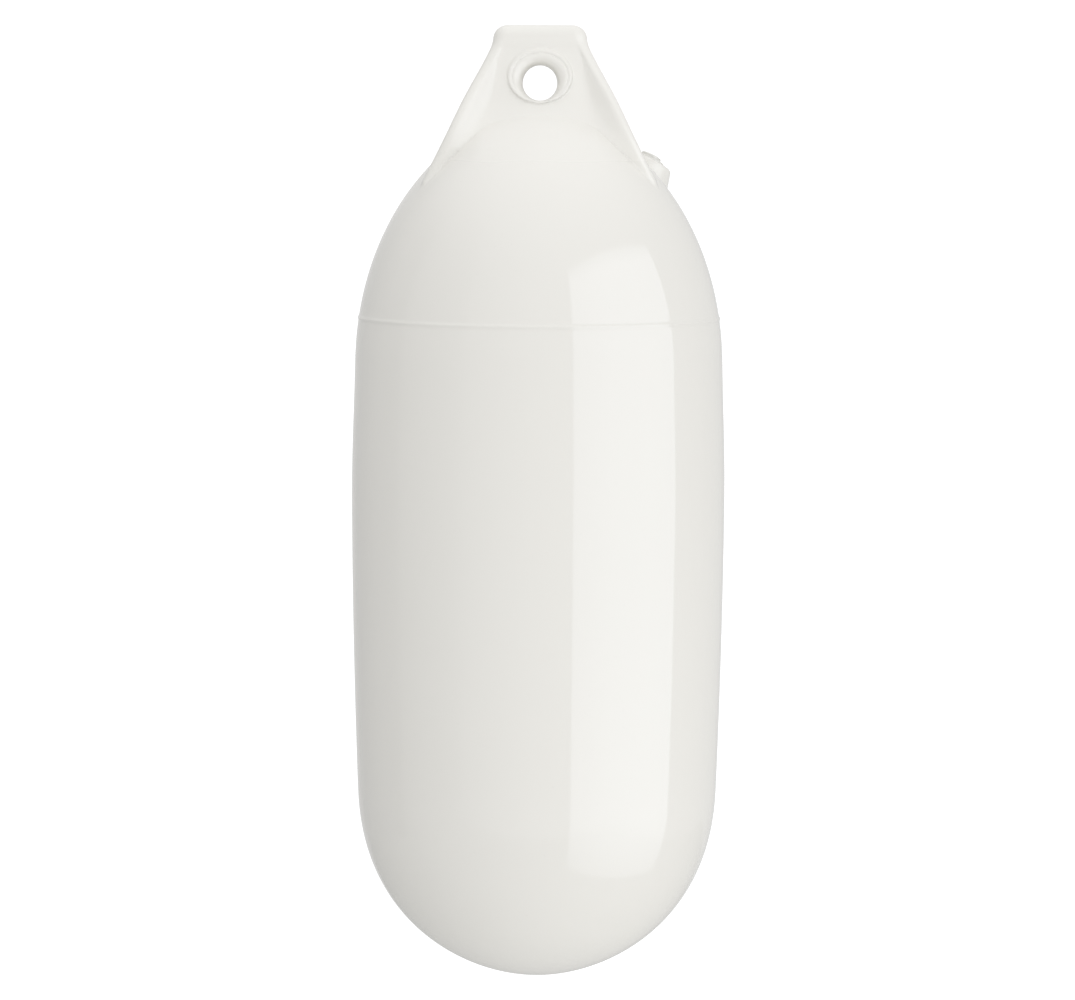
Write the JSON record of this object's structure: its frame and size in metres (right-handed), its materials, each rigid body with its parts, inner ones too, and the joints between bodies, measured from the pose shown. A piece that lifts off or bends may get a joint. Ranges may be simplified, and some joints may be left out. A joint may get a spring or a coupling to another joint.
{
  "type": "marker buoy",
  "caption": "Cylindrical inflated vinyl marker buoy with a flared rope eye on top, a raised parting ridge round the shoulder and a screw valve in a boss",
  "frame": {"origin": "Centre of the rope eye, on the buoy's axis, midway between the two faces of the lug.", "axes": "+Z along the buoy's axis, from the round bottom up through the rope eye. The eye's hole runs along Y, and the lug's trapezoid lies in the XZ plane. +X points to the side of the valve boss, which sits on the shoulder towards +Y."},
  "size_m": [0.1496, 0.1496, 0.3825],
  "materials": {
    "vinyl": "glossy moulded vinyl, off-white, satin towards the lug",
    "valve_bush_nylon": "satin",
    "valve_screw_nylon": "satin"
  },
  "bodies": {
    "root": {"buoy_body": "vinyl", "valve_bush": "valve_bush_nylon", "valve_screw": "valve_screw_nylon"}
  },
  "joints": []
}
